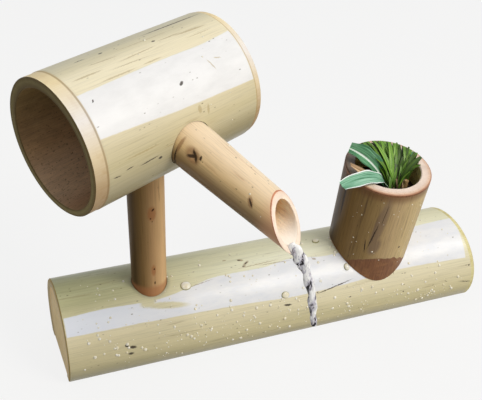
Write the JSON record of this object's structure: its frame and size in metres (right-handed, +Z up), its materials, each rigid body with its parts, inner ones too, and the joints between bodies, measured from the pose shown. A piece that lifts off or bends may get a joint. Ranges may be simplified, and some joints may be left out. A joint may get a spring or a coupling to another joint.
{
  "type": "bamboo water spout",
  "caption": "Hollow bamboo drum on a post over a planed base culm, with a side spout for pumped water and a coped cup of planting.",
  "frame": {"origin": "middle of the part's box, at the level of the base culm's planed underside", "axes": "+X along the base culm towards its open sawn end, -Y the side that the spout pours towards, +Z up"},
  "size_m": [0.3196, 0.1798, 0.2324],
  "materials": {
    "base_bamboo": "dried culm skin, satin, wet",
    "drum_bamboo": "dried culm skin, satin",
    "post_bamboo": "brown culm skin, satin",
    "spout_bamboo": "peach culm skin, satin",
    "cup_bamboo": "weathered brown culm skin, wet",
    "peg_cane": "split bamboo, raw",
    "screw_steel": "zinc plated",
    "tail_plastic": "moulded, matt",
    "hose_silicone": "milky silicone",
    "bung_rubber": "soft rubber",
    "planting_mix": "dark bark and peat",
    "grass_leaf": "live blade, satin",
    "striped_leaf": "live leaf with pale margins, satin",
    "dry_stem": "cut dry stem"
  },
  "bodies": {
    "base": {"base_culm": "base_bamboo", "cup_culm": "cup_bamboo", "cup_screw_left": "screw_steel", "cup_screw_right": "screw_steel"},
    "head": {"post_culm": "post_bamboo", "drum_culm": "drum_bamboo", "stop_peg_left": "peg_cane", "stop_peg_right": "peg_cane", "drum_peg_far": "peg_cane", "drum_peg_near": "peg_cane", "riser_hose": "hose_silicone", "pump_hose_tail": "tail_plastic"},
    "spout": {"spout_culm": "spout_bamboo", "spout_bung": "bung_rubber"},
    "planting": {"planting_mix": "planting_mix", "grass_blade_1": "grass_leaf", "grass_blade_2": "grass_leaf", "grass_blade_3": "grass_leaf", "grass_blade_4": "grass_leaf", "grass_blade_5": "grass_leaf", "grass_blade_6": "grass_leaf", "grass_blade_7": "grass_leaf", "grass_blade_8": "grass_leaf", "striped_leaf_over_rim": "striped_leaf", "striped_leaf_back": "striped_leaf", "cut_stem": "dry_stem"}
  },
  "joints": [
    {"name": "head_swivel", "type": "hinge", "parent": "base", "child": "head", "pos_m": [-0.08276, 0.02929, 0.05], "axis": [0, 0, 1], "range_deg": [-30, 30]},
    {"name": "spout_twist", "type": "hinge", "parent": "head", "child": "spout", "pos_m": [-0.08073, 0.03011, 0.18646], "axis": [0.4127, -0.8809, -0.2317], "continuous": true},
    {"name": "planting_lift", "type": "slide", "parent": "base", "child": "planting", "axis": [0.0584, -0.1699, 0.9837], "range_m": [0, 0.055]}
  ]
}
